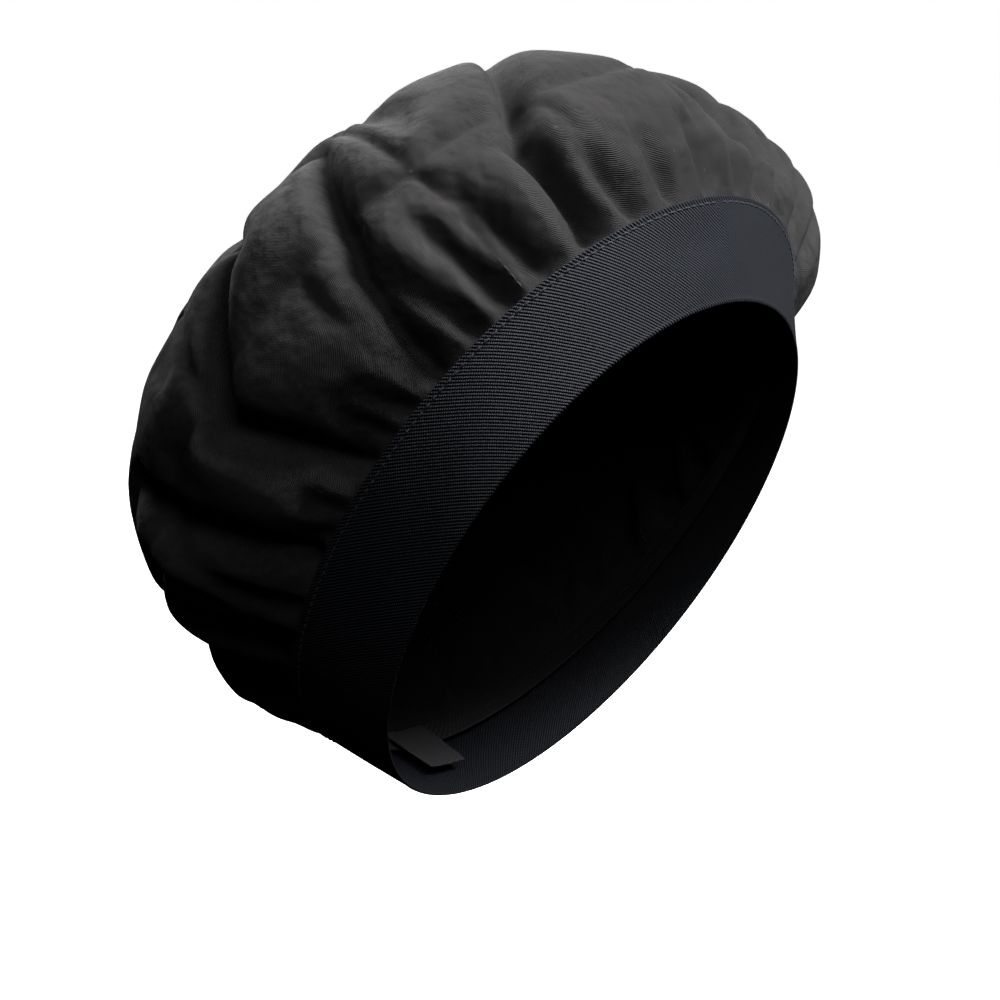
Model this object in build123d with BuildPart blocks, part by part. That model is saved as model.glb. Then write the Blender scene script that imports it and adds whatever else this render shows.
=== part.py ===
"""Thermal hair cap: a quilted, gathered, seed-filled crown on a wide woven elastic band.

The frame is the cap as worn on an upright head: +Z is up, the face looks along -Y, and the
origin is the centre of the head opening. The opening is tilted: its front edge lies above the
forehead and its back edge in the nape. All sizes are in millimetres.

Most pieces are rings or bowls around the opening. Their places are given in the opening's own
plane, where local x is the wearer's left, local y points to the nape and local z into the crown.
"""
import os
from math import atan2, cos, degrees, radians, sin

from build123d import *

# Head opening and elastic band
opening_tilt = 57.0  # degrees from level, front edge high
opening_width = 160.0
opening_length = 196.0
band_thickness = 1.4
band_rise = 28.8  # height of the band's top edge over the opening
band_top_width = 197.0
band_top_length = 224.0
band_top_forward = 9.0  # the top edge sits forward of the opening
band_top_tilt = 2.3  # degrees, which keeps the band about 34 mm wide all round

# Crown
crown_radius = 124.0  # at its widest, outside the cloth
crown_height = 82.0  # from the widest level to the top
shoulder_radius = 66.0  # of the arc that turns in from the widest level
crown_forward = 5.0  # the crown's centre is forward of the band's
bulge_rise = 32.0  # from the band's top edge to the widest level
bulge_turns = (0, 30, 60, 90)  # degrees of the quarter curve from the band to the widest level

# The crown's top is a wide arc that runs tangent into the shoulder's arc
shoulder_out = crown_radius - shoulder_radius
cap_radius = ((shoulder_out ** 2 + crown_height ** 2 - shoulder_radius ** 2)
              / (2 * (crown_height - shoulder_radius)))
shoulder_turn = degrees(atan2(shoulder_out, cap_radius - crown_height))

# Layers: how far each face lies inside the crown's outer face
cloth_thickness = 1.0
lining_thickness = 0.8
fill_thickness = 7.0
clearance = 0.3
shell_inset = cloth_thickness
lining_inset = shell_inset + 2 * clearance + fill_thickness
lining_inside = lining_inset + lining_thickness

# The same layers where they run down inside the band, measured from the band's mid face
shell_edge = band_thickness / 2 + 0.1
shell_edge_inside = shell_edge + cloth_thickness
lining_edge = shell_edge_inside + clearance
lining_edge_inside = lining_edge + lining_thickness
raw_edge_share = 0.78  # how far up the band the cloth's raw edges end

# Binding tape and care label inside the band
binding_share = (0.70, 0.97)
binding_edge = lining_edge_inside + clearance
binding_thickness = 0.7
label_share = (0.30, 0.95)
label_width = 24.0
label_thickness = 0.4

# Quilting: rings are angles down from the crown's top, along its outer face
ring_angles = {"inner": 13.0, "middle": 32.0, "outer": 77.0}
outer_sectors = 16
inner_sectors = 8
seam_gap = 2.5  # cloth left flat beside each quilting line
fill_bottom = 7.0  # the lowest fill ends this far over the band's top edge
thread_end_gap = 1.5  # the radial rows stop this short of the rings
thread_radius = 0.35
band_thread_sides = 8  # the rows along the band are eight-sided bars
topstitch_share = 0.93
join_stitches = 12
join_half_width = 3.0

opening = Plane(origin=(0, 0, 0), x_dir=(1, 0, 0),
                z_dir=(0, sin(radians(opening_tilt)), cos(radians(opening_tilt))))


def opening_plane(y, z, tilt=0.0):
    """A plane at local y, z of the opening, its back raised by tilt degrees."""
    origin = opening.from_local_coords((0, y, z))
    normal = opening.from_local_coords((0, -sin(radians(tilt)), cos(radians(tilt))))
    return Plane(origin=origin, x_dir=(1, 0, 0), z_dir=normal)


def band_plane(share):
    """The plane across the band at a share of its width, 0 at the opening and 1 at the top."""
    return opening_plane(-band_top_forward * share, band_rise * share, band_top_tilt * share)


def band_radii(share, inset=0.0):
    """Half width and half length of the band's mid face at that share, less an inset."""
    half_width = opening_width + (band_top_width - opening_width) * share
    half_length = opening_length + (band_top_length - opening_length) * share
    return half_width / 2 - inset, half_length / 2 - inset


crown_base = band_plane(1)
crown_centre = crown_base.from_local_coords((0, -crown_forward, bulge_rise))
crown_axis = Axis(crown_centre, crown_base.z_dir)
meridian = Plane(origin=crown_centre, x_dir=(1, 0, 0),
                 z_dir=crown_base.x_dir.cross(crown_base.z_dir))


def turned_meridian(angle):
    """The meridian plane turned about the crown's axis, 0 towards the wearer's left."""
    x_dir = crown_base.x_dir.rotate(Axis((0, 0, 0), crown_base.z_dir), angle)
    return Plane(origin=crown_centre, x_dir=x_dir, z_dir=x_dir.cross(crown_base.z_dir))


def bulge_section(turn, inset, edge_inset):
    """Plane and radii of the crown between the band (turn 0) and its widest level (turn 90)."""
    share = sin(radians(turn))
    level = bulge_rise * turn / 90
    origin = crown_base.from_local_coords((0, -crown_forward * share, level))
    plane = Plane(origin=origin, x_dir=(1, 0, 0), z_dir=crown_base.z_dir)
    start = band_radii(1, edge_inset)
    end = crown_radius - inset
    radii = [radius + (end - radius) * share for radius in start]
    return plane, radii


def band_ring(shares, inset, thickness):
    """A closed ring that follows the band's slope between two shares of its width."""
    with BuildPart() as ring:
        for share in shares:
            with BuildSketch(band_plane(share)):
                Ellipse(*band_radii(share, inset))
        loft()
        for share in shares:
            with BuildSketch(band_plane(share)):
                Ellipse(*band_radii(share, inset + thickness))
        loft(mode=Mode.SUBTRACT)
    return ring.part


def dome_point(angle, proud=0.0):
    """Radius and height, from the crown's centre, where the outer face leans by an angle."""
    lean = Vector(sin(radians(angle)), cos(radians(angle)))
    if angle < shoulder_turn:
        return Vector(0, crown_height - cap_radius) + lean * (cap_radius + proud)
    return Vector(shoulder_out, 0) + lean * (shoulder_radius + proud)


def dome_step(angle, distance):
    """The angle that lies a distance further down the outer face than another angle."""
    arc_radius = cap_radius if angle < shoulder_turn else shoulder_radius
    return angle + degrees(distance / arc_radius)


def dome_arcs(proud, top=0.0, bottom=90.0):
    """Draw the outer face's arcs, moved out by proud, between two angles."""
    if bottom > shoulder_turn:
        end = max(top, shoulder_turn)
        CenterArc((shoulder_out, 0), shoulder_radius + proud, 90 - bottom, bottom - end)
    if top < shoulder_turn:
        end = min(bottom, shoulder_turn)
        cap_centre = (0, crown_height - cap_radius)
        CenterArc(cap_centre, cap_radius + proud, 90 - end, end - top)


def crown_bulk(inset, edge_inset):
    """The crown as a solid lump, with each face lying inside the outer face by an inset."""
    with BuildPart() as bulk:
        for turn in bulge_turns:
            plane, radii = bulge_section(turn, inset, edge_inset)
            with BuildSketch(plane):
                Ellipse(*radii)
        loft()
        with BuildSketch(meridian):
            with BuildLine():
                dome_arcs(-inset)
                Polyline(dome_point(0, -inset), (0, 0), dome_point(90, -inset))
            make_face()
        revolve(axis=crown_axis)
    return bulk.part


def cloth_bulk(inset, edge_inset):
    """crown_bulk carried on down inside the band to the cloth's raw edge."""
    with BuildPart() as bulk:
        add(crown_bulk(inset, edge_inset))
        for share in (raw_edge_share, 1):
            with BuildSketch(band_plane(share)):
                Ellipse(*band_radii(share, edge_inset))
        loft()
    return bulk.part


def sector_centres(count):
    """Angles of the pockets' middles, with one seam at the front of the crown."""
    return [-90 + 360 / count * (index + 0.5) for index in range(count)]


def write(piece, name):
    """Label a finished piece and write its file."""
    piece.part.label = name
    export_step(piece.part, f"parts/{name}.step")


os.makedirs("parts", exist_ok=True)

# Elastic band: one wide woven ring
with BuildPart() as elastic_band:
    add(band_ring((0, 1), -band_thickness / 2, band_thickness))
write(elastic_band, "elastic_band")

# Zigzag stitching that joins the band's two ends at the nape
with BuildPart() as band_join_stitching:
    corners = []
    for step in range(join_stitches + 1):
        share = 0.04 + 0.92 * step / join_stitches
        side = join_half_width if step % 2 else -join_half_width
        outside = band_radii(share, -band_thickness / 2)[1]
        corners.append(band_plane(share).from_local_coords((side, outside, 0)))
    for start, end in zip(corners, corners[1:]):
        with BuildLine() as stitch:
            Line(start, end)
        with BuildSketch(Plane(origin=start, z_dir=stitch.line % 0)):
            Circle(thread_radius)
        sweep(path=stitch.line)
write(band_join_stitching, "band_join_stitching")

# Outer cloth and lining: bowls whose edges run down inside the band
with BuildPart() as outer_shell:
    add(cloth_bulk(0, shell_edge))
    add(cloth_bulk(shell_inset, shell_edge_inside), mode=Mode.SUBTRACT)
write(outer_shell, "outer_shell")

with BuildPart() as lining:
    add(cloth_bulk(lining_inset, lining_edge))
    add(cloth_bulk(lining_inside, lining_edge_inside), mode=Mode.SUBTRACT)
write(lining, "lining")

# Seed fill: one layer between the cloths, cut into pockets by the quilting
with BuildPart() as fill_layer:
    add(crown_bulk(shell_inset + clearance, shell_edge_inside + clearance))
    add(crown_bulk(lining_inset - clearance, lining_edge - clearance), mode=Mode.SUBTRACT)
    bottom = crown_base.from_local_coords((0, 0, fill_bottom))
    split(bisect_by=Plane(origin=bottom, z_dir=crown_base.z_dir), keep=Keep.TOP)

reach = 3 * fill_thickness  # how far the pockets' cutting shapes stand clear of the fill


def dome_pocket(centre, span, top, bottom):
    """A pocket on the crown's dome, turned through its span about the crown's axis."""
    faces = (-shell_inset - clearance, clearance - lining_inset)
    with BuildPart() as fill:
        with BuildSketch(turned_meridian(centre - span / 2)):
            with BuildLine():
                for face in faces:
                    dome_arcs(face, top, bottom)
                for angle in (top, bottom):
                    Line(*[dome_point(angle, face) for face in faces])
            make_face()
        revolve(axis=crown_axis, revolution_arc=span)
    return fill


def side_pocket(centre, span, top):
    """A pocket that runs on from the dome down to the fill's lower edge."""
    with BuildPart() as fill:
        add(fill_layer.part)
        with BuildSketch(turned_meridian(centre - span / 2)):
            with BuildLine():
                below = [(crown_radius + reach, -crown_height), (reach, -crown_height)]
                above = [dome_point(top, proud) for proud in (-reach, reach)]
                Polyline(*above, *below, close=True)
            make_face()
        revolve(axis=crown_axis, revolution_arc=span, mode=Mode.INTERSECT)
    return fill


rings = [
    ("outer", outer_sectors, ring_angles["outer"], None),
    ("middle", inner_sectors, ring_angles["middle"], ring_angles["outer"]),
    ("inner", inner_sectors, ring_angles["inner"], ring_angles["middle"]),
]
for ring_name, count, top_angle, bottom_angle in rings:
    top_edge = dome_step(top_angle, seam_gap / 2)
    middle_angle = (top_angle + (bottom_angle or 90)) / 2
    span = 360 / count - degrees(seam_gap / dome_point(middle_angle).X)
    for number, centre in enumerate(sector_centres(count), start=1):
        if bottom_angle is None:
            seed_fill = side_pocket(centre, span, top_edge)
        else:
            bottom_edge = dome_step(bottom_angle, -seam_gap / 2)
            seed_fill = dome_pocket(centre, span, top_edge, bottom_edge)
        write(seed_fill, f"seed_fill_{ring_name}_{number:02d}")

seed_fill_centre = dome_pocket(0, 360, 0, dome_step(ring_angles["inner"], -seam_gap / 2))
write(seed_fill_centre, "seed_fill_centre")

# Quilting threads, half sunk in the outer cloth
for ring_name, angle in ring_angles.items():
    with BuildPart() as ring_quilting:
        with BuildSketch(meridian):
            with Locations(dome_point(angle)):
                Circle(thread_radius)
        revolve(axis=crown_axis)
    write(ring_quilting, f"ring_quilting_{ring_name}")


def bulge_point(angle, turn):
    """A point on the crown's outer face below its widest level."""
    plane, radii = bulge_section(turn, 0, shell_edge)
    across = (radii[0] * cos(radians(angle)), radii[1] * sin(radians(angle)), 0)
    return plane.from_local_coords(across)


def radial_threads(count, top_angle, bottom_angle):
    """One thread down each radial seam between two quilting rings."""
    thread_top = dome_step(top_angle, thread_end_gap)
    with BuildPart() as threads:
        for centre in sector_centres(count):
            seam = centre - 180 / count
            plane = turned_meridian(seam)
            with BuildLine() as route:
                if bottom_angle is None:
                    side = [plane.from_local_coords(dome_point(thread_top))]
                    side += [bulge_point(seam, turn) for turn in (90, 60, 30, 12)]
                    Spline(side)
                else:
                    thread_bottom = dome_step(bottom_angle, -thread_end_gap)
                    angles = (thread_top, (thread_top + thread_bottom) / 2, thread_bottom)
                    Spline([plane.from_local_coords(dome_point(angle)) for angle in angles])
            with BuildSketch(Plane(origin=route.line @ 0, z_dir=route.line % 0)):
                Circle(thread_radius)
            sweep(path=route.line)
    return threads


for ring_name, count, top_angle, bottom_angle in rings:
    radial_quilting = radial_threads(count, top_angle, bottom_angle)
    write(radial_quilting, f"radial_quilting_{ring_name}")


def band_thread(share, inset):
    """A row of stitching that runs round the band at one height."""
    plane = band_plane(share)
    radii = band_radii(share, inset)
    with BuildPart() as thread:
        with BuildLine() as route:
            add(Edge.make_ellipse(*radii, plane=plane))
        with BuildSketch(Plane(origin=route.line @ 0, z_dir=route.line % 0)):
            RegularPolygon(thread_radius, band_thread_sides)
        sweep(path=route.line)
    return thread


# Stitching that holds the gathered crown to the band
band_topstitch = band_thread(topstitch_share, -band_thickness / 2)
write(band_topstitch, "band_topstitch")

# Tape over the raw edges inside the band, and its row of stitching
with BuildPart() as seam_binding:
    add(band_ring(binding_share, binding_edge, binding_thickness))
write(seam_binding, "seam_binding")

binding_stitch = band_thread(sum(binding_share) / 2, binding_edge + binding_thickness)
write(binding_stitch, "binding_stitch")

# Blank care label, sewn in at the nape
with BuildPart() as care_label:
    label_inset = binding_edge + binding_thickness + 3 * thread_radius
    add(band_ring(label_share, label_inset, label_thickness))
    with BuildSketch(opening):
        with Locations((0, band_top_length / 2)):
            Rectangle(label_width, band_top_length)
    extrude(amount=band_rise + reach, mode=Mode.INTERSECT)
write(care_label, "care_label")
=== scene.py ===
import math

import bpy
import numpy as np
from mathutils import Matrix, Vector


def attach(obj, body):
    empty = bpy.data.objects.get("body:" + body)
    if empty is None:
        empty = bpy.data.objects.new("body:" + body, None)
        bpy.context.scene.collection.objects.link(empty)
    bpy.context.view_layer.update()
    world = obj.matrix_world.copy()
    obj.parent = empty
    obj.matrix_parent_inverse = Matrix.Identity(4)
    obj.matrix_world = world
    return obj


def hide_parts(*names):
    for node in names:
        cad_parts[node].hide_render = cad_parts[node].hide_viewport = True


# Thermal hair cap: the looks. Lengths are in metres unless a name says mm. The opening's own
# directions are LEFT (the wearer's left), NAPE and CROWN, as in the CAD model's comments.
# "turn" is the angle round the cap in degrees, 0 at the front and 90 at the wearer's right, and
# "rise" is the distance in mm up the crown's cloth from the band's top edge.

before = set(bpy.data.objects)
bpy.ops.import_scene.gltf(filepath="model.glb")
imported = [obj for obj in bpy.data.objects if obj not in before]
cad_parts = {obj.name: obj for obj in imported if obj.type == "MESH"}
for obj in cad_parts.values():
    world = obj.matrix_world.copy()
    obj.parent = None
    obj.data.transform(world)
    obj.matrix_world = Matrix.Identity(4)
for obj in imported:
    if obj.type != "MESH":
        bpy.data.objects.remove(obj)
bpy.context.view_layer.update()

MM = 0.001
OPENING_TILT = math.radians(57)
OPENING_RADII = (80 * MM, 98 * MM)
BAND_TOP_RADII = (98.5 * MM, 112 * MM)
BAND_RISE = 28.8 * MM
BAND_FORWARD = 9 * MM
BAND_TILT = math.radians(2.3)
BAND_WIDTH = 34 * MM
BAND_THICKNESS = 1.4 * MM
CROWN_RADIUS = 124 * MM
CROWN_HEIGHT = 82 * MM
CROWN_FORWARD = 5 * MM
BULGE_RISE = 32 * MM
SHOULDER_RADIUS = 66 * MM  # the crown's top is a wide arc that runs tangent into the shoulder's
SHOULDER_OUT = CROWN_RADIUS - SHOULDER_RADIUS
CAP_RADIUS = ((SHOULDER_OUT ** 2 + CROWN_HEIGHT ** 2 - SHOULDER_RADIUS ** 2)
              / (2 * (CROWN_HEIGHT - SHOULDER_RADIUS)))
SHOULDER_TURN = math.atan2(SHOULDER_OUT, CAP_RADIUS - CROWN_HEIGHT)
FLAT_RADIUS = 205 * MM  # the crown cloth's disc before it was gathered

LEFT = np.array((1, 0, 0))
NAPE = np.array((0, math.cos(OPENING_TILT), -math.sin(OPENING_TILT)))
CROWN = np.array((0, math.sin(OPENING_TILT), math.cos(OPENING_TILT)))

RING_ANGLES = {"inner": 13, "middle": 32, "outer": 77}  # degrees the cloth leans at each ring
OUTER_SEAMS = 16
INNER_SEAMS = 8
HEM = 8 * MM  # how far the gathered cloth runs down inside the band
SHELL_EDGE = 0.8 * MM  # how far inside the band's mid face the outer cloth runs down
LINING_INSET = 9.4 * MM  # how far the lining lies inside the crown's outer face
LINING_EDGE = 2.5 * MM
CLOTH_THICKNESS = 0.5 * MM
SEAM_SETBACK = 1.6 * MM  # how far the seed stays from a ring of quilting
FILL_FOOT = 7 * MM  # the lowest seed is this far up the crown


# ---------------------------------------------------------------- places on the cap

def place(share, points, forward=0.0, height=0.0):
    """World places of points (x, y, z) given in the plane across the band at a share of its width."""
    tilt = BAND_TILT * share
    along = NAPE * math.cos(tilt) + CROWN * math.sin(tilt)
    up = CROWN * math.cos(tilt) - NAPE * math.sin(tilt)
    start = -BAND_FORWARD * share * NAPE + BAND_RISE * share * CROWN
    points = np.asarray(points, float)
    return (start + points[..., 0:1] * LEFT + (points[..., 1:2] - forward) * along
            + (points[..., 2:3] + height) * up)


def band_radii(share, proud=0.0):
    """Half width and half length of the band's mid face at a share of its width, plus proud."""
    return [low + (high - low) * share + proud for low, high in zip(OPENING_RADII, BAND_TOP_RADII)]


def band_point(turn, share, proud=0.0):
    """World place on the band, turn in degrees."""
    angle = math.radians(turn)
    across, along = band_radii(share, proud)
    return place(share, (-across * math.sin(angle), -along * math.cos(angle), 0.0))


def dome_place(lean, inset=0.0):
    """Radius and height over the band's top edge where the dome leans by an angle."""
    if lean < SHOULDER_TURN:
        arc, out, up = CAP_RADIUS - inset, 0, BULGE_RISE + CROWN_HEIGHT - CAP_RADIUS
    else:
        arc, out, up = SHOULDER_RADIUS - inset, SHOULDER_OUT, BULGE_RISE
    return out + arc * math.sin(lean), up + arc * math.cos(lean)


def crown_rings(inset, edge_inset, count=600):
    """Fine table up the crown: rise, radius across, radius along, forward shift and height."""
    edge = band_radii(1, -edge_inset)
    wide = CROWN_RADIUS - inset
    rows = []
    for turn in np.linspace(0, math.pi / 2, count):
        share = math.sin(turn)
        rows.append([edge[0] + (wide - edge[0]) * share, edge[1] + (wide - edge[1]) * share,
                     CROWN_FORWARD * share, BULGE_RISE * turn / (math.pi / 2)])
    for lean in np.linspace(math.pi / 2, 0, count)[1:]:
        radius, height = dome_place(lean, inset)
        rows.append([radius, radius, CROWN_FORWARD, height])
    rows = np.array(rows)
    mean = np.c_[(rows[:, 0] + rows[:, 1]) / 2, rows[:, 3]]
    rise = np.r_[0, np.cumsum(np.linalg.norm(np.diff(mean, axis=0), axis=1))]
    return np.c_[rise, rows]


def ring_rise(name):
    """How far up the crown a quilting ring lies."""
    table = crown_rings(0, 0)
    height = dome_place(math.radians(RING_ANGLES[name]))[1]
    return float(np.interp(height, table[:, 4], table[:, 0]))


def on_crown(turn, rise, inset, edge_inset):
    """World places on the crown, turn in degrees and rise in metres; below 0 is inside the band."""
    turn, rise = np.broadcast_arrays(np.radians(turn), np.asarray(rise, float))
    table = crown_rings(inset, edge_inset)
    across, along, forward, height = (np.interp(rise, table[:, 0], table[:, k]) for k in (1, 2, 3, 4))
    flat = np.stack([-across * np.sin(turn), -along * np.cos(turn) - forward, height], -1)
    points = place(1, flat)
    for index in np.ndindex(rise.shape):
        if rise[index] < 0:
            share = 1 + rise[index] / BAND_WIDTH
            points[index] = band_point(math.degrees(turn[index]), share, -edge_inset)
    return points


# ---------------------------------------------------------------- the crown's grid of points

TOP_RISE = crown_rings(0, 0)[-1, 0]
SECTORS = 256
ROW_STEP = 3.4 * MM
TOP_RADIUS = 3 * MM  # of the last row of points round the crown's top


def crown_rows():
    """Rise of each row and its number of points, fewer towards the top."""
    stops = [-HEM, 0] + [ring_rise(name) for name in ("outer", "middle", "inner")]
    stops.append(TOP_RISE - TOP_RADIUS)
    rises = []
    for low, high in zip(stops, stops[1:]):
        steps = max(2, round((high - low) / ROW_STEP))
        rises += list(np.linspace(low, high, steps, endpoint=False))
    rises.append(stops[-1])
    left = [TOP_RISE - rise for rise in rises]
    counts = [SECTORS if far > 92 * MM else SECTORS // 2 if far > 42 * MM
              else SECTORS // 4 if far > 16 * MM else SECTORS // 8 for far in left]
    return rises, counts


ROW_RISES, ROW_COUNTS = crown_rows()


def crown_grid():
    """Turn, rise and faces of the crown's grid, with the last point at the top."""
    turns, rises, starts, faces = [], [], [], []
    for rise, count in zip(ROW_RISES, ROW_COUNTS):
        starts.append(len(turns))
        turns += [360 * step / count for step in range(count)]
        rises += [rise] * count
    for row, (low, high) in enumerate(zip(ROW_COUNTS, ROW_COUNTS[1:])):
        first, second = starts[row], starts[row + 1]
        for step in range(high):
            after = second + (step + 1) % high
            if low == high:
                faces.append((first + step, first + (step + 1) % low, after, second + step))
                continue
            a, b, c = (first + (2 * step + k) % low for k in range(3))
            faces += [(a, b, second + step), (b, after, second + step), (b, c, after)]
    top = len(turns)
    last = starts[-1]
    count = ROW_COUNTS[-1]
    faces += [(last + step, last + (step + 1) % count, top) for step in range(count)]
    return np.array(turns + [0.0]), np.array(rises + [TOP_RISE]), faces


TURNS, RISES, CROWN_FACES = crown_grid()


def new_piece(name, points, faces, smooth=True):
    """A mesh object from points and faces, in the scene."""
    mesh = bpy.data.meshes.new(name)
    mesh.from_pydata([tuple(p) for p in points], [], [tuple(f) for f in faces])
    mesh.update()
    mesh.polygons.foreach_set("use_smooth", [smooth] * len(mesh.polygons))
    piece = bpy.data.objects.new(name, mesh)
    bpy.context.scene.collection.objects.link(piece)
    return piece


def read_points(mesh):
    """A mesh's points as an array."""
    flat = np.empty(len(mesh.vertices) * 3)
    mesh.vertices.foreach_get("co", flat)
    return flat.reshape(-1, 3)


def apply_modifiers(piece):
    """Turns a piece's modifiers into its mesh."""
    graph = bpy.context.evaluated_depsgraph_get()
    mesh = bpy.data.meshes.new_from_object(piece.evaluated_get(graph))
    piece.modifiers.clear()
    old = piece.data
    piece.data = mesh
    mesh.name = old.name + "_final"
    bpy.data.meshes.remove(old)


def subdivide(piece, levels=1):
    """Smooths a piece by subdivision."""
    modifier = piece.modifiers.new("subdivide", "SUBSURF")
    modifier.levels = levels
    modifier.render_levels = levels
    apply_modifiers(piece)


# ---------------------------------------------------------------- folds of the crown

# Long folds between the crown's puffs on the wearer's right, in round numbers: turn at the band,
# lean by the end, bend on the way, reach up the cloth in mm, then width and depth in mm
LONG_FOLDS = [
    (30, -20, 0, 100, 6.5, 9.0),
    (65, -15, -5, 100, 6.0, 8.5),
    (80, -10, 10, 110, 7.5, 9.5),
    (100, 15, 5, 75, 6.0, 9.5),
]
# Short gathers along the band between them: first turn, last turn, how many, reach in mm
GATHER_ROWS = [(-10, 20, 4, 25), (40, 55, 3, 35), (70, 75, 2, 15), (90, 95, 2, 10), (110, 120, 2, 25)]
GATHER_WIDTH = 3.6
GATHER_DEPTH = 4.6
# Broad swells and hollows: turn, lean, lower and upper end in mm, width and height in mm
SWELLS = [
    (35, 0, 5, 30, 5.5, 2.0),
    (60, 0, 5, 25, 6.0, 2.0),
    (95, 0, 5, 55, 9.0, 2.5),
    (110, 10, 10, 65, 6.0, 3.5),
    (140, 10, 5, 110, 24.0, -8.0),
    (295, 10, 0, 40, 24.0, 11.0),
    (320, 0, 10, 25, 16.0, 2.0),
    (340, 20, 25, 110, 28.0, -9.0),
]
FOLD_FOOT = -8  # folds start this many mm below the band's top edge
HIDDEN_TURNS = (122, 348)  # the sides that no view of the photograph settles
SEED = 7


def seen_valleys():
    """The long folds and the rows of gathers, as (route, width, depth)."""
    valleys = []
    for turn, lean, bend, reach, width, depth in LONG_FOLDS:
        route = [(turn, FOLD_FOOT), (turn + bend, 0.4 * reach), (turn + lean, reach)]
        valleys.append((route, width, depth))
    for first, last, count, reach in GATHER_ROWS:
        for turn in np.linspace(first, last, count):
            valleys.append(([(turn, FOLD_FOOT), (turn + 3, reach)], GATHER_WIDTH, GATHER_DEPTH))
    return valleys


def hidden_valleys():
    """Valleys of the same kind for the rest of the crown, from a fixed seed."""
    draw = np.random.default_rng(SEED)
    valleys = []
    turn = HIDDEN_TURNS[0]
    while turn < HIDDEN_TURNS[1]:
        long = draw.random() < 0.38
        reach = draw.uniform(60, 105) if long else draw.uniform(12, 40)
        slant = draw.uniform(-14, 14) if long else draw.uniform(-4, 4)
        width = draw.uniform(5.0, 7.0) if long else draw.uniform(3.2, 4.4)
        depth = draw.uniform(7.0, 9.5) if long else draw.uniform(3.5, 5.5)
        bend = draw.uniform(-4, 4)
        route = [(turn, -8), (turn + bend, reach * 0.35), (turn + slant, reach)]
        valleys.append((route, width, depth))
        turn += draw.uniform(7.0, 11.5)
    return valleys


def crown_valleys_at_top():
    """Shallow valleys that run over the crown's top, between its inner seams."""
    draw = np.random.default_rng(SEED + 1)
    routes = []
    for step in range(9):
        turn = 360 / 9 * step + draw.uniform(-12, 12)
        low = draw.uniform(82, 105)
        high = draw.uniform(135, 170)
        routes.append(([(turn, low), (turn + draw.uniform(-16, 16), high)],
                       draw.uniform(6, 9), draw.uniform(2.5, 4.5)))
    return routes


def groove(route, width):
    """How strongly each grid point belongs to a fold: 1 on its line, 0 away from it."""
    turns = np.array([point[0] for point in route], float)
    rises = np.array([point[1] for point in route]) * MM
    line = np.interp(RISES, rises, turns)
    radius = np.interp(RISES, *crown_rings(0, 0)[:, :2].T)
    away = (TURNS - line + 180) % 360 - 180
    across = np.radians(away) * np.maximum(radius, 6 * MM)
    low, high = rises[0], rises[-1]
    past = np.maximum(np.maximum(low - RISES, RISES - high), 0)
    fade = 0.35 * (high - low) + 6 * MM
    taper = np.clip((high + 6 * MM - RISES) / fade, 0, 1) if low < 0 else 1.0
    if low >= 0:
        taper = np.clip(np.minimum(RISES - low, high - RISES) / fade + 0.6, 0, 1)
    shape = np.exp(-(across / (width * MM)) ** 2) * np.exp(-(past / (5 * MM)) ** 2)
    return shape * np.sqrt(taper)


def wander(period, seed, count=6):
    """A smooth seeded wave round the cap, about -1 to 1, with the given period in degrees."""
    draw = np.random.default_rng(seed)
    wave = np.zeros_like(TURNS)
    for _ in range(count):
        turns = max(1, round(360 / period * draw.uniform(0.75, 1.3)))
        wave += np.cos(np.radians(TURNS) * turns + draw.uniform(0, 2 * math.pi))
    return wave / math.sqrt(count)


def seam_pull():
    """How strongly each grid point is held down by a line of quilting."""
    radius = np.interp(RISES, *crown_rings(0, 0)[:, :2].T)
    pull = np.zeros_like(TURNS)
    for name in RING_ANGLES:
        pull = np.maximum(pull, np.exp(-((RISES - ring_rise(name)) / (3.2 * MM)) ** 2))
    for count, low, high in ((OUTER_SEAMS, -HEM, ring_rise("outer")),
                             (INNER_SEAMS, ring_rise("outer"), ring_rise("inner"))):
        step = 360 / count
        away = (TURNS + step / 2) % step - step / 2
        across = np.radians(away) * radius
        inside = (RISES >= low - MM) & (RISES <= high + MM)
        pull = np.maximum(pull, inside * np.exp(-(across / (2.6 * MM)) ** 2))
    return pull


def crown_relief():
    """Height in metres of the outer cloth over its smooth dome, before it is simulated."""
    height = np.full(len(TURNS), 0.5)
    for route, width, depth in seen_valleys() + hidden_valleys() + crown_valleys_at_top():
        height -= depth * groove(route, width)
    for turn, lean, low, high, width, rise in SWELLS:
        height += rise * groove([(turn, low), (turn + lean, high)], width)
    height = np.maximum(height, -9.0 + 0.25 * (height + 9.0))
    gather = np.clip(1 - RISES / (26 * MM), 0, 1) ** 1.5
    height += gather * (1.5 * wander(9, 11) + 1.3 * wander(5, 12))
    height += 0.9 * wander(24, 13) * np.sin(RISES / (22 * MM))
    height -= 2.2 * seam_pull() * np.clip(RISES / (20 * MM), 0, 1)
    near_edge = np.clip((RISES + 2 * MM) / (9 * MM), 0, 1)
    near_top = np.clip((TOP_RISE - RISES) / (14 * MM), 0, 1)
    return height * MM * near_edge * (0.3 + 0.7 * near_top)


def crease():
    """Depth in metres of the sharp lines at the bottoms of the folds."""
    depth = np.zeros(len(TURNS))
    for route, width, fold in seen_valleys() + hidden_valleys():
        depth = np.maximum(depth, 0.42 * fold * groove(route, 0.5 * width))
    return depth * MM * np.clip((RISES + 2 * MM) / (9 * MM), 0, 1)


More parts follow.
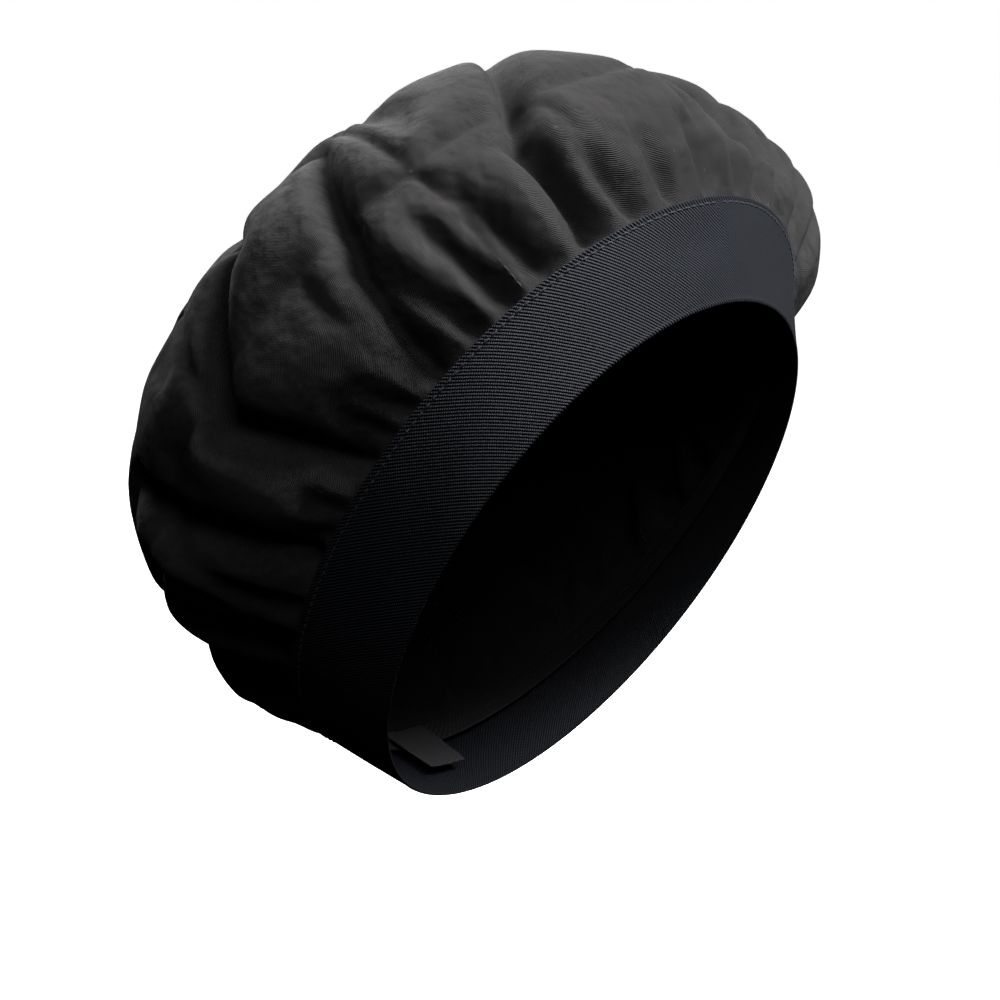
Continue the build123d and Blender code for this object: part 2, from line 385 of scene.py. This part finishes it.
def outward():
    """Unit directions out of the smooth crown at each grid point."""
    inner = on_crown(TURNS, np.maximum(RISES, 0), 2 * MM, 2.8 * MM)
    outer = on_crown(TURNS, np.maximum(RISES, 0), 0, SHELL_EDGE)
    way = outer - inner
    radial = place(1, np.stack([-np.sin(np.radians(TURNS)), -np.cos(np.radians(TURNS)),
                                np.zeros_like(TURNS)], -1)) - place(1, np.zeros((1, 3)))
    way = way / np.linalg.norm(way, axis=1)[:, None]
    way = way + 0.6 * radial * np.clip(1 - RISES / (12 * MM), 0, 1)[:, None]
    way[-1] = place(1, (0, 0, 1)) - place(1, (0, 0, 0))
    return way / np.linalg.norm(way, axis=1)[:, None]


OUTWARD = outward()


PRESSURE = 3.0
SPREAD = 0.05  # how much larger than its mesh the cloth wants to be
SETTLE_FRAMES = 24
MOVE_LIMIT = 6 * MM


def simulate(piece, hold):
    """Runs Blender's cloth on a piece, caps how far each point may move and keeps the result."""
    start = read_points(piece.data)
    group = piece.vertex_groups.new(name="held")
    for index, weight in enumerate(hold):
        if weight > 0.01:
            group.add([index], float(weight), "REPLACE")
    cloth = piece.modifiers.new("cloth", "CLOTH")
    settings = cloth.settings
    settings.quality = 6
    settings.mass = 0.2
    settings.air_damping = 2.0
    settings.tension_stiffness = 18
    settings.compression_stiffness = 18
    settings.shear_stiffness = 6
    settings.bending_stiffness = 0.8
    settings.tension_damping = 8
    settings.compression_damping = 8
    settings.shear_damping = 8
    settings.bending_damping = 0.8
    settings.use_pressure = True
    settings.uniform_pressure_force = PRESSURE
    settings.shrink_min = -SPREAD
    settings.vertex_group_mass = "held"
    settings.pin_stiffness = 1.0
    settings.effector_weights.gravity = 0.0
    cloth.collision_settings.use_collision = False
    cloth.collision_settings.use_self_collision = False
    cloth.point_cache.frame_start = 1
    cloth.point_cache.frame_end = SETTLE_FRAMES
    for number in range(1, SETTLE_FRAMES + 1):
        bpy.context.scene.frame_set(number)
    apply_modifiers(piece)
    bpy.context.scene.frame_set(1)
    moved = read_points(piece.data) - start
    length = np.linalg.norm(moved, axis=1)
    allowed = MOVE_LIMIT * np.tanh(length / MOVE_LIMIT)
    moved *= (allowed / np.maximum(length, 1e-9))[:, None]
    piece.data.vertices.foreach_set("co", (start + moved).ravel())
    piece.data.update()
    piece.vertex_groups.clear()
    return start + moved


def flat_uv(piece, points_flat, name="cloth"):
    """Writes a UV map in metres from one flat place per point."""
    layer = piece.data.uv_layers.new(name=name)
    loops = np.empty(len(piece.data.loops), int)
    piece.data.loops.foreach_get("vertex_index", loops)
    layer.data.foreach_set("uv", points_flat[loops].ravel())


FLAT_PLACES = np.stack([(TOP_RISE - RISES) / TOP_RISE * FLAT_RADIUS * np.cos(np.radians(TURNS)),
                        (TOP_RISE - RISES) / TOP_RISE * FLAT_RADIUS * np.sin(np.radians(TURNS))], -1)


def make_shell():
    """The gathered outer cloth, puffed by cloth simulation between its lines of quilting."""
    smooth = on_crown(TURNS, RISES, 0, SHELL_EDGE)
    points = smooth + OUTWARD * crown_relief()[:, None]
    piece = new_piece("crown_cloth", points, CROWN_FACES)
    flat_uv(piece, FLAT_PLACES)
    hold = np.where(RISES < 1.5 * MM, 1.0, 0.35 * seam_pull())
    points = simulate(piece, hold)
    points = points - OUTWARD * crease()[:, None]
    piece.data.vertices.foreach_set("co", points.ravel())
    piece.data.update()
    return piece, points


shell, shell_points = make_shell()


# ---------------------------------------------------------------- lining and seed fill

def make_lining():
    """The inner cloth: it follows the outer one's folds and puffs inwards over each pocket."""
    smooth = on_crown(TURNS, RISES, LINING_INSET, LINING_EDGE)
    dip = np.einsum("ij,ij->i", shell_points - on_crown(TURNS, RISES, 0, SHELL_EDGE), OUTWARD)
    follow = np.minimum(dip + 1.5 * MM, 0) * 0.85
    pucker = 2.6 * MM * seam_pull() * np.clip(RISES / (20 * MM), 0, 1)
    soft = 0.5 * MM * wander(13, 31) * np.clip(1 - RISES / (30 * MM), 0, 1)
    points = smooth + OUTWARD * (follow + pucker + soft)[:, None]
    piece = new_piece("lining_cloth", points, [face[::-1] for face in CROWN_FACES])
    flat_uv(piece, FLAT_PLACES)
    return piece, points


lining, lining_points = make_lining()


def row_points(points, row, turns):
    """Places on a crown cloth along one of its rows, at any turns."""
    start = sum(ROW_COUNTS[:row])
    count = ROW_COUNTS[row]
    at = (np.asarray(turns, float) % 360) / 360 * count
    low = np.floor(at).astype(int)
    share = (at - low)[:, None]
    ring = points[start:start + count]
    return ring[low % count] * (1 - share) + ring[(low + 1) % count] * share


def cloth_at(points, turn, rise):
    """A place on a crown cloth at any turn and rise."""
    row = int(np.searchsorted(ROW_RISES, rise)) - 1
    row = min(max(row, 0), len(ROW_RISES) - 2)
    share = (rise - ROW_RISES[row]) / (ROW_RISES[row + 1] - ROW_RISES[row])
    low = row_points(points, row, [turn])[0]
    high = row_points(points, row + 1, [turn])[0]
    return low * (1 - share) + high * share


PAD_GAPS = (0.44, 0.36, 0.3, 0.26)  # how far a pad stays off each cloth, from its rim inwards
PAD_STEPS = 25  # points along each side of a pad


def pad_mesh(turns, rises):
    """Points and faces of a stuffed pad between the two cloths, closed and thin at its rim."""
    outer, inner = [], []
    for i, rise in enumerate(rises):
        for j, turn in enumerate(turns):
            top = cloth_at(shell_points, turn, rise)
            low = cloth_at(lining_points, turn, rise)
            rim = min(i, j, len(rises) - 1 - i, len(turns) - 1 - j)
            gap = PAD_GAPS[min(rim, len(PAD_GAPS) - 1)]
            outer.append(top + (low - top) * gap)
            inner.append(low + (top - low) * gap)
    wide = len(turns)
    faces = []
    for i in range(len(rises) - 1):
        for j in range(wide - 1):
            a = i * wide + j
            faces.append((a, a + 1, a + wide + 1, a + wide))
    shift = len(outer)
    faces += [tuple(index + shift for index in face[::-1]) for face in faces]
    rim = [(0, j) for j in range(wide)]
    rim += [(i, wide - 1) for i in range(1, len(rises))]
    rim += [(len(rises) - 1, j) for j in range(wide - 2, -1, -1)]
    rim += [(i, 0) for i in range(len(rises) - 2, 0, -1)]
    ring = [i * wide + j for i, j in rim]
    faces += [(b, a, a + shift, b + shift) for a, b in zip(ring, ring[1:] + ring[:1])]
    return outer + inner, faces


def joined(name, parts):
    """One piece from several lists of points and faces."""
    points, faces = [], []
    for part_points, part_faces in parts:
        start = len(points)
        points += [tuple(p) for p in part_points]
        faces += [tuple(index + start for index in face) for face in part_faces]
    return new_piece(name, points, faces)


def make_fill():
    """The seed pockets, one piece for each ring of them."""
    rise_stops = {"outer": (FILL_FOOT, ring_rise("outer")),
                  "middle": (ring_rise("outer"), ring_rise("middle")),
                  "inner": (ring_rise("middle"), ring_rise("inner"))}
    pieces = {}
    for name, (low, high) in rise_stops.items():
        count = OUTER_SEAMS if name == "outer" else INNER_SEAMS
        span = 360 / count
        margin = 0.06 * span
        parts = []
        for number in range(count):
            turns = np.linspace(number * span + margin, (number + 1) * span - margin, PAD_STEPS)
            rises = np.linspace(low + SEAM_SETBACK, high - SEAM_SETBACK, PAD_STEPS)
            parts.append(pad_mesh(turns, rises))
        pieces[name] = joined(f"seed_fill_{name}", parts)
    return pieces


fills = make_fill()


def make_centre_fill():
    """The round pocket at the crown's top."""
    turns = np.linspace(0, 360, 49)[:-1]
    rises = np.linspace(ring_rise("inner") + SEAM_SETBACK, TOP_RISE - TOP_RADIUS, 14)
    points, sides = [], []
    for cloth, other in ((shell_points, lining_points), (lining_points, shell_points)):
        rows = []
        for i, rise in enumerate(rises):
            gap = PAD_GAPS[min(i, len(PAD_GAPS) - 1)]
            rows.append(range(len(points), len(points) + len(turns)))
            for turn in turns:
                near, far = cloth_at(cloth, turn, rise), cloth_at(other, turn, rise)
                points.append(near + (far - near) * gap)
        sides.append(rows)
    loop = sides[0][::-1] + sides[1]
    faces = []
    for row, after in zip(loop, loop[1:]):
        for j in range(len(turns)):
            k = (j + 1) % len(turns)
            faces.append((row[k], row[j], after[j], after[k]))
    for row, way in ((loop[0], 1), (loop[-1], -1)):
        points.append(np.mean([points[index] for index in row], axis=0))
        for j in range(len(turns)):
            k = (j + 1) % len(turns)
            faces.append((row[j], row[k], len(points) - 1)[::way])
    return new_piece("seed_fill_centre_pad", points, faces)


centre_fill = make_centre_fill()

for cloth in (shell, lining):
    solid = cloth.modifiers.new("thickness", "SOLIDIFY")
    solid.thickness = CLOTH_THICKNESS
    solid.offset = -1
    subdivide(cloth)


# ---------------------------------------------------------------- the elastic band

BAND_STEPS = 300


def band_profile():
    """Outline of the elastic's section: (share of width, proud in mm), a rolled edge at each side."""
    half = BAND_THICKNESS / MM / 2
    outside = [(0.0, half * 0.2), (0.006, half * 0.9), (0.02, half * 1.25), (0.035, half * 1.05),
               (0.05, half * 0.8)]
    outside += [(share, half) for share in np.linspace(0.08, 0.92, 11)]
    outside += [(0.95, half * 0.8), (0.962, half * 1.15), (0.98, half * 1.5), (0.994, half * 1.1),
                (1.0, half * 0.2)]
    inside = [(share, -half) for share in (0.98, 0.9, 0.75, 0.6, 0.45, 0.3, 0.15, 0.02)]
    return outside + inside


def band_wave(turn, share):
    """How far the worn elastic stands off its smooth cone, in metres."""
    angle = math.radians(turn)
    wave = 0.35 * math.sin(5 * angle + 1.0 + 2.5 * share) + 0.25 * math.sin(11 * angle + 4 * share)
    sag = -1.0 * math.exp(-((turn - 6) / 9) ** 2) * math.exp(-((share - 0.62) / 0.22) ** 2)
    lift = 0.5 * math.exp(-((turn - 16) / 10) ** 2) * math.exp(-((share - 0.45) / 0.3) ** 2)
    return (wave * math.sin(math.pi * share) + sag + lift) * MM


def make_band():
    """The wide woven elastic, as a closed ring with rolled edges."""
    profile = band_profile()
    points, faces, uvs = [], [], []
    for step in range(BAND_STEPS):
        turn = 360 * step / BAND_STEPS
        for share, proud in profile:
            points.append(band_point(turn, share, proud * MM + band_wave(turn, share)))
    size = len(profile)
    around = np.pi * (sum(band_radii(0.5)))
    for step in range(BAND_STEPS):
        for k in range(size):
            a, b = step * size + k, step * size + (k + 1) % size
            c, d = (b + size) % len(points), (a + size) % len(points)
            faces.append((a, b, c, d))
            shares = (profile[k][0], profile[(k + 1) % size][0])
            u = (step / BAND_STEPS * around, (step + 1) / BAND_STEPS * around)
            uvs += [(u[0], shares[0] * BAND_WIDTH), (u[0], shares[1] * BAND_WIDTH),
                    (u[1], shares[1] * BAND_WIDTH), (u[1], shares[0] * BAND_WIDTH)]
    piece = new_piece("elastic_band_woven", points, faces)
    layer = piece.data.uv_layers.new(name="weave")
    layer.data.foreach_set("uv", np.array(uvs).ravel())
    subdivide(piece)
    return piece


band = make_band()


def make_ring_strip(name, shares, inset, thickness, turns=None):
    """A thin tape inside the band between two shares of its width, all round or over some turns."""
    closed = turns is None
    turns = np.linspace(0, 360, 241)[:-1] if closed else np.linspace(*turns, 25)
    cuts = list(np.linspace(*shares, 7))
    profile = [(share, -inset) for share in cuts] + [(share, -inset - thickness) for share in cuts[::-1]]
    points = []
    for turn in turns:
        soft = 0.12 * MM * math.sin(math.radians(turn) * 21)
        points += [band_point(turn, share, proud + soft) for share, proud in profile]
    size = len(profile)
    faces = []
    steps = len(turns) if closed else len(turns) - 1
    for step in range(steps):
        for k in range(size):
            a, b = step * size + k, step * size + (k + 1) % size
            faces.append((a, b, (b + size) % len(points), (a + size) % len(points)))
    if not closed:
        faces += [tuple(range(size))[::-1], tuple(range(len(points) - size, len(points)))]
    piece = new_piece(name, points, faces)
    subdivide(piece)
    return piece


binding = make_ring_strip("seam_binding_tape", (0.70, 0.97), 3.2 * MM, 0.7 * MM)
label_half_turn = math.degrees(12 * MM / band_radii(0.6)[1])
label = make_ring_strip("care_label_blank", (0.30, 0.95), 4.95 * MM, 0.4 * MM,
                        (180 - label_half_turn, 180 + label_half_turn))


# ---------------------------------------------------------------- stitching

STITCH_LENGTH = 2.6 * MM
STITCH_GAP = 0.7 * MM
STITCH_SIDES = 6


def stitch_points(start, end, up, radius):
    """One short stitch: a spindle from start to end that dips into the cloth at both ends."""
    along = end - start
    side = np.cross(along, up)
    side /= max(np.linalg.norm(side), 1e-9)
    points = []
    for share, width, rise in ((0.0, 0.35, -0.5), (0.15, 0.8, 0.05), (0.4, 1.0, 0.45),
                               (0.6, 1.0, 0.45), (0.85, 0.8, 0.05), (1.0, 0.35, -0.5)):
        centre = start + along * share + up * radius * rise
        for k in range(STITCH_SIDES):
            angle = 2 * math.pi * k / STITCH_SIDES
            points.append(centre + width * radius * (side * math.cos(angle) + up * math.sin(angle)))
    faces = []
    for ring in range(5):
        for k in range(STITCH_SIDES):
            a, b = ring * STITCH_SIDES + k, ring * STITCH_SIDES + (k + 1) % STITCH_SIDES
            faces.append((a, b, b + STITCH_SIDES, a + STITCH_SIDES))
    faces.append(tuple(range(STITCH_SIDES))[::-1])
    faces.append(tuple(range(5 * STITCH_SIDES, 6 * STITCH_SIDES)))
    return points, faces


def stitches_along(line, ups, radius=0.28 * MM):
    """Stitches at an even pitch along a line of points on the cloth."""
    line = np.asarray(line)
    ups = np.asarray(ups)
    length = np.r_[0, np.cumsum(np.linalg.norm(np.diff(line, axis=0), axis=1))]
    pitch = STITCH_LENGTH + STITCH_GAP
    parts = []
    for number in range(int(length[-1] / pitch)):
        ends = [number * pitch + STITCH_GAP / 2, number * pitch + STITCH_GAP / 2 + STITCH_LENGTH]
        start, end = (np.array([np.interp(at, length, line[:, k]) for k in range(3)]) for at in ends)
        up = np.array([np.interp(sum(ends) / 2, length, ups[:, k]) for k in range(3)])
        parts.append(stitch_points(start, end, up / np.linalg.norm(up), radius))
    return parts


def cloth_line(turns, rises):
    """Points on the outer cloth and the way out of it along a line of turns and rises."""
    line = [cloth_at(shell_points, turn, rise) for turn, rise in zip(turns, rises)]
    before = [cloth_at(lining_points, turn, rise) for turn, rise in zip(turns, rises)]
    ups = np.array(line) - np.array(before)
    return line, ups / np.linalg.norm(ups, axis=1)[:, None]


def make_quilting():
    """Rows of stitching on the crown: rings and radial seams."""
    pieces = {}
    for name in RING_ANGLES:
        turns = np.linspace(0, 360, 361)
        line, ups = cloth_line(turns, [ring_rise(name)] * len(turns))
        pieces[f"ring_quilting_{name}"] = joined(f"ring_stitches_{name}", stitches_along(line, ups))
    spans = {"outer": (OUTER_SEAMS, 1.5 * MM, ring_rise("outer")),
             "middle": (INNER_SEAMS, ring_rise("outer"), ring_rise("middle")),
             "inner": (INNER_SEAMS, ring_rise("middle"), ring_rise("inner"))}
    for name, (count, low, high) in spans.items():
        parts = []
        for number in range(count):
            rises = np.linspace(low + MM, high - MM, 30)
            line, ups = cloth_line([360 / count * number] * 30, rises)
            parts += stitches_along(line, ups)
        pieces[f"radial_quilting_{name}"] = joined(f"radial_stitches_{name}", parts)
    return pieces


quilting = make_quilting()


def band_stitches(name, share, proud, facing=1):
    """A row of stitching round the band at one height, on its outer or inner face."""
    turns = np.linspace(0, 360, 721)
    line = [band_point(turn, share, proud + band_wave(turn, share)) for turn in turns]
    core = [band_point(turn, share, proud - facing * MM) for turn in turns]
    return joined(name, stitches_along(line, np.array(line) - np.array(core)))


topstitch = band_stitches("band_topstitch_row", 0.93, BAND_THICKNESS / 2)
binding_row = band_stitches("binding_stitch_row", 0.835, -3.9 * MM, -1)


def make_join():
    """The zigzag that joins the band's ends at the nape."""
    parts = []
    steps = 26
    half_turn = math.degrees(3 * MM / band_radii(0.5)[1])
    for step in range(steps):
        shares = [0.04 + 0.92 * (step + k) / steps for k in (0, 1)]
        turns = [180 + half_turn * (1 if (step + k) % 2 else -1) for k in (0, 1)]
        ends = [band_point(turn, share, BAND_THICKNESS / 2 + band_wave(turn, share))
                for turn, share in zip(turns, shares)]
        up = band_point(180, shares[0], MM) - band_point(180, shares[0], 0)
        parts.append(stitch_points(*ends, up / np.linalg.norm(up), 0.3 * MM))
    return joined("band_join_zigzag", parts)


join = make_join()


# ---------------------------------------------------------------- materials

def shader(name, color, roughness, sheen=0.0, sheen_roughness=0.4):
    """A material and its main shader, with the constant values on the shader's own sockets."""
    material = bpy.data.materials.new(name)
    material.use_nodes = True
    tree = material.node_tree
    main = tree.nodes["Principled BSDF"]
    main.inputs["Base Color"].default_value = (*color, 1)
    main.inputs["Roughness"].default_value = roughness
    main.inputs["Specular IOR Level"].default_value = 0.12
    main.inputs["Sheen Weight"].default_value = sheen
    main.inputs["Sheen Roughness"].default_value = sheen_roughness
    return material, tree, main


def node(tree, kind, **values):
    """A node with its inputs or settings set by name."""
    made = tree.nodes.new(kind)
    for key, value in values.items():
        if key in made.inputs:
            made.inputs[key].default_value = value
        else:
            setattr(made, key, value)
    return made


def math_node(tree, operation, first, second=None, third=None):
    """A Math node between sockets or numbers."""
    made = tree.nodes.new("ShaderNodeMath")
    made.operation = operation
    for index, value in enumerate((first, second, third)):
        if value is None:
            continue
        if isinstance(value, (int, float)):
            made.inputs[index].default_value = value
        else:
            tree.links.new(value, made.inputs[index])
    return made.outputs[0]


def mixed_color(tree, amount, low, high):
    """A colour between two colours by a socket's value."""
    ramp = tree.nodes.new("ShaderNodeValToRGB")
    ramp.color_ramp.elements[0].color = (*low, 1)
    ramp.color_ramp.elements[1].color = (*high, 1)
    tree.links.new(amount, ramp.inputs["Fac"])
    return ramp.outputs["Color"]


def noise(tree, vector, scale, detail=2.0):
    """A noise socket over a vector socket."""
    made = node(tree, "ShaderNodeTexNoise", Scale=scale, Detail=detail)
    tree.links.new(vector, made.inputs["Vector"])
    return made.outputs["Fac"]


def bump(tree, main, heights):
    """Stacks bumps, each (socket, distance in metres, strength), on a shader's normal."""
    normal = None
    for socket, distance, strength in heights:
        made = node(tree, "ShaderNodeBump", Distance=distance, Strength=strength)
        tree.links.new(socket, made.inputs["Height"])
        if normal is not None:
            tree.links.new(normal, made.inputs["Normal"])
        normal = made.outputs["Normal"]
    tree.links.new(normal, main.inputs["Normal"])


def waves(tree, first, second, pitch, slope):
    """A sine from 0 to 1 across lines of the given pitch, first + slope * second."""
    turned = math_node(tree, "MULTIPLY", second, slope)
    place_on = math_node(tree, "ADD", first, turned)
    angle = math_node(tree, "MULTIPLY", place_on, 2 * math.pi / pitch)
    return math_node(tree, "MULTIPLY_ADD", math_node(tree, "SINE", angle), 0.5, 0.5)


def cotton(name, dark, light, pitch=0.75 * MM):
    """Fine cotton twill: diagonal ribs, soft crumple, faint shade changes and lint."""
    material, tree, main = shader(name, dark, 0.78, sheen=0.03, sheen_roughness=0.45)
    where = node(tree, "ShaderNodeUVMap", uv_map="cloth")
    split = tree.nodes.new("ShaderNodeSeparateXYZ")
    tree.links.new(where.outputs["UV"], split.inputs["Vector"])
    twill = waves(tree, split.outputs["X"], split.outputs["Y"], pitch, 1.0)
    yarn = waves(tree, split.outputs["Y"], split.outputs["X"], pitch * 0.8, -0.6)
    space = node(tree, "ShaderNodeTexCoord")
    place_on = space.outputs["Object"]
    cloud = noise(tree, place_on, 22, 3)
    fold = noise(tree, place_on, 38, 3)
    crumple = noise(tree, place_on, 120, 4)
    slub = noise(tree, place_on, 900, 2)
    tone = math_node(tree, "MULTIPLY", twill, 0.6)
    tone = math_node(tree, "ADD", tone, math_node(tree, "MULTIPLY", cloud, 0.35))
    tone = math_node(tree, "ADD", tone, math_node(tree, "MULTIPLY", slub, 0.3))
    cloth_color = mixed_color(tree, tone, dark, light)
    lint_noise = noise(tree, place_on, 420, 1)
    lint = math_node(tree, "GREATER_THAN", lint_noise, 0.815)
    mix = node(tree, "ShaderNodeMix", data_type="RGBA")
    tree.links.new(lint, mix.inputs["Factor"])
    tree.links.new(cloth_color, mix.inputs["A"])
    mix.inputs["B"].default_value = (0.05, 0.05, 0.054, 1)
    tree.links.new(mix.outputs["Result"], main.inputs["Base Color"])
    rough = math_node(tree, "MULTIPLY_ADD", slub, 0.16, 0.68)
    tree.links.new(rough, main.inputs["Roughness"])
    bump(tree, main, [(fold, 14 * MM, 0.7), (crumple, 3.2 * MM, 0.6),
                      (twill, 0.25 * MM, 0.9), (yarn, 0.12 * MM, 0.4),
                      (slub, 0.1 * MM, 0.3)])
    return material


def ribbed_elastic():
    """Wide woven elastic: slanted twill ribs of short floats."""
    dark, light = (0.0004, 0.0005, 0.0009), (0.018, 0.021, 0.029)
    material, tree, main = shader("woven_elastic", dark, 0.55, sheen=0.02)
    where = node(tree, "ShaderNodeUVMap", uv_map="weave")
    split = tree.nodes.new("ShaderNodeSeparateXYZ")
    tree.links.new(where.outputs["UV"], split.inputs["Vector"])
    along, across = split.outputs["X"], split.outputs["Y"]
    ribs = waves(tree, across, along, 1.28 * MM, -1.0)
    floats = waves(tree, across, along, 1.0 * MM, 0.9)
    weave = math_node(tree, "MULTIPLY", ribs, math_node(tree, "MULTIPLY_ADD", floats, 0.6, 0.4))
    space = node(tree, "ShaderNodeTexCoord")
    fleck = noise(tree, space.outputs["Object"], 700, 2)
    cloud = noise(tree, space.outputs["Object"], 18, 2)
    tone = math_node(tree, "ADD", math_node(tree, "MULTIPLY", weave, 0.95),
                     math_node(tree, "MULTIPLY", fleck, 0.12))
    tone = math_node(tree, "ADD", tone, math_node(tree, "MULTIPLY", cloud, 0.08))
    tree.links.new(mixed_color(tree, tone, dark, light), main.inputs["Base Color"])
    bump(tree, main, [(weave, 0.45 * MM, 0.9), (fleck, 0.1 * MM, 0.3)])
    return material


def thread_material(name, color):
    """Twisted sewing thread."""
    material, tree, main = shader(name, color, 0.55, sheen=0.15)
    space = node(tree, "ShaderNodeTexCoord")
    twist = noise(tree, space.outputs["Object"], 2600, 2)
    high = tuple(2.2 * value for value in color)
    tree.links.new(mixed_color(tree, twist, color, high), main.inputs["Base Color"])
    bump(tree, main, [(twist, 0.08 * MM, 0.5)])
    return material


def woven_tape(name, low, high, pitch):
    """Plain woven tape or satin, from its place in space."""
    material, tree, main = shader(name, low, 0.6, sheen=0.1)
    space = node(tree, "ShaderNodeTexCoord")
    split = tree.nodes.new("ShaderNodeSeparateXYZ")
    tree.links.new(space.outputs["Object"], split.inputs["Vector"])
    warp = waves(tree, split.outputs["X"], split.outputs["Y"], pitch, 0.2)
    weft = waves(tree, split.outputs["Z"], split.outputs["Y"], pitch, -0.8)
    weave = math_node(tree, "MULTIPLY", warp, weft)
    tree.links.new(mixed_color(tree, weave, low, high), main.inputs["Base Color"])
    bump(tree, main, [(weave, 0.15 * MM, 0.6)])
    return material


def seeds():
    """Flax seed seen as a packed layer of small glossy grains."""
    low, high = (0.06, 0.025, 0.012), (0.30, 0.15, 0.07)
    material, tree, main = shader("flax_seed", low, 0.35)
    space = node(tree, "ShaderNodeTexCoord")
    cells = node(tree, "ShaderNodeTexVoronoi", Scale=420)
    tree.links.new(space.outputs["Object"], cells.inputs["Vector"])
    tree.links.new(mixed_color(tree, cells.outputs["Color"], low, high), main.inputs["Base Color"])
    bump(tree, main, [(cells.outputs["Distance"], 1.5 * MM, 0.8)])
    return material


crown_cotton = cotton("crown_cotton_twill", (0.003, 0.0029, 0.003), (0.028, 0.0265, 0.0268))
lining_cotton = cotton("lining_cotton_twill", (0.006, 0.0057, 0.0058), (0.024, 0.023, 0.023))
elastic = ribbed_elastic()
crown_thread = thread_material("crown_thread", (0.022, 0.021, 0.022))
band_thread = thread_material("band_thread", (0.012, 0.013, 0.017))
tape = woven_tape("binding_tape_weave", (0.008, 0.008, 0.009), (0.03, 0.03, 0.033), 0.6 * MM)
satin = woven_tape("label_satin_weave", (0.02, 0.02, 0.022), (0.05, 0.05, 0.054), 0.3 * MM)
seed_layer = seeds()


# ---------------------------------------------------------------- what each piece stands for

def settle(piece, material, slot_name, *nodes, fill=None):
    """Gives a piece its material and its body, and hides the CAD nodes that it replaces; slot_name is
    not used.
    """
    piece.data.materials.clear()
    piece.data.materials.append(material)
    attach(piece, "root")
    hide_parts(*nodes)


settle(shell, crown_cotton, "crown_cotton", "outer_shell", fill=0.5)
settle(lining, lining_cotton, "lining_cotton", "lining", fill=0.5)
settle(band, elastic, "elastic_webbing", "elastic_band")
settle(binding, tape, "binding_tape", "seam_binding")
settle(label, satin, "label_satin", "care_label")
settle(topstitch, band_thread, "band_thread", "band_topstitch")
settle(binding_row, band_thread, "band_thread", "binding_stitch")
settle(join, band_thread, "band_thread", "band_join_stitching")
for node_name, piece in quilting.items():
    settle(piece, crown_thread, "quilting_thread", node_name)
for ring_name, piece in fills.items():
    count = OUTER_SEAMS if ring_name == "outer" else INNER_SEAMS
    names = [f"seed_fill_{ring_name}_{number:02d}" for number in range(1, count + 1)]
    settle(piece, seed_layer, "seed_fill", *names, fill=0.6)
settle(centre_fill, seed_layer, "seed_fill", "seed_fill_centre", fill=0.6)


# ---------------------------------------------------------------- stage, light and camera

VIEW_TURN = math.radians(-52.1)
VIEW_RISE = math.radians(6.9)
VIEW_DISTANCE = 1.5
FRAME_WIDTH = 0.3160  # what the picture's width covers at the cap
AIM_RIGHT = -0.0301  # the picture's middle from the head opening's centre
AIM_UP = 0.0172
FLOOR_DROP = 0.16

to_camera = np.array((math.sin(VIEW_TURN) * math.cos(VIEW_RISE),
                      -math.cos(VIEW_TURN) * math.cos(VIEW_RISE), math.sin(VIEW_RISE)))
view_right = np.cross(-to_camera, (0, 0, 1))
view_right /= np.linalg.norm(view_right)
view_up = np.cross(view_right, -to_camera)


def look_at(thing, target):
    """Turns a camera or lamp to face a point."""
    way = Vector(target) - thing.location
    thing.rotation_euler = way.to_track_quat("-Z", "Y").to_euler()


def make_camera():
    """The camera at the photograph's angle."""
    aim = view_right * AIM_RIGHT + view_up * AIM_UP
    data = bpy.data.cameras.new("camera")
    data.sensor_width = 36
    data.lens = 36 * VIEW_DISTANCE / FRAME_WIDTH
    data.clip_end = 50
    camera = bpy.data.objects.new("camera", data)
    camera.location = aim + to_camera * VIEW_DISTANCE
    bpy.context.scene.collection.objects.link(camera)
    look_at(camera, aim)
    bpy.context.scene.camera = camera


def softbox(name, way, distance, size, power, color=(1, 1, 1)):
    """A square area lamp; way is (right, up, towards the camera) as the photograph sees it."""
    data = bpy.data.lights.new(name, "AREA")
    data.shape = "SQUARE"
    data.size = size
    data.energy = power
    data.color = color
    lamp = bpy.data.objects.new(name, data)
    way = way[0] * view_right + way[1] * view_up + way[2] * to_camera
    lamp.location = distance * way / np.linalg.norm(way)
    bpy.context.scene.collection.objects.link(lamp)
    look_at(lamp, np.zeros(3))


def make_stage():
    """A plain white floor and surround that cast no light, and the studio's lamps."""
    points = [(x, y, -FLOOR_DROP) for x, y in ((-12, -12), (12, -12), (12, 12), (-12, 12))]
    floor = new_piece("floor", points, [(0, 1, 2, 3)], smooth=False)
    material, _, main = shader("white_floor", (0.8, 0.8, 0.8), 0.9)
    main.inputs["Emission Color"].default_value = (1, 1, 1, 1)
    main.inputs["Emission Strength"].default_value = 1.0
    floor.data.materials.append(material)
    floor.visible_diffuse = False
    floor.visible_glossy = False
    world = bpy.data.worlds.new("surround")
    world.use_nodes = True
    world.node_tree.nodes["Background"].inputs["Color"].default_value = (1, 1, 1, 1)
    world.node_tree.nodes["Background"].inputs["Strength"].default_value = 1.0
    world.cycles_visibility.diffuse = False
    world.cycles_visibility.glossy = False
    bpy.context.scene.world = world
    softbox("key", (0.5, 0.85, 0.25), 1.3, 0.6, 66)
    softbox("front", (0.1, 0.6, 1.0), 1.8, 0.9, 11)
    softbox("back", (-0.3, 0.6, -1.0), 1.6, 0.9, 22)
    bpy.context.scene.view_settings.view_transform = "Standard"


make_camera()
make_stage()
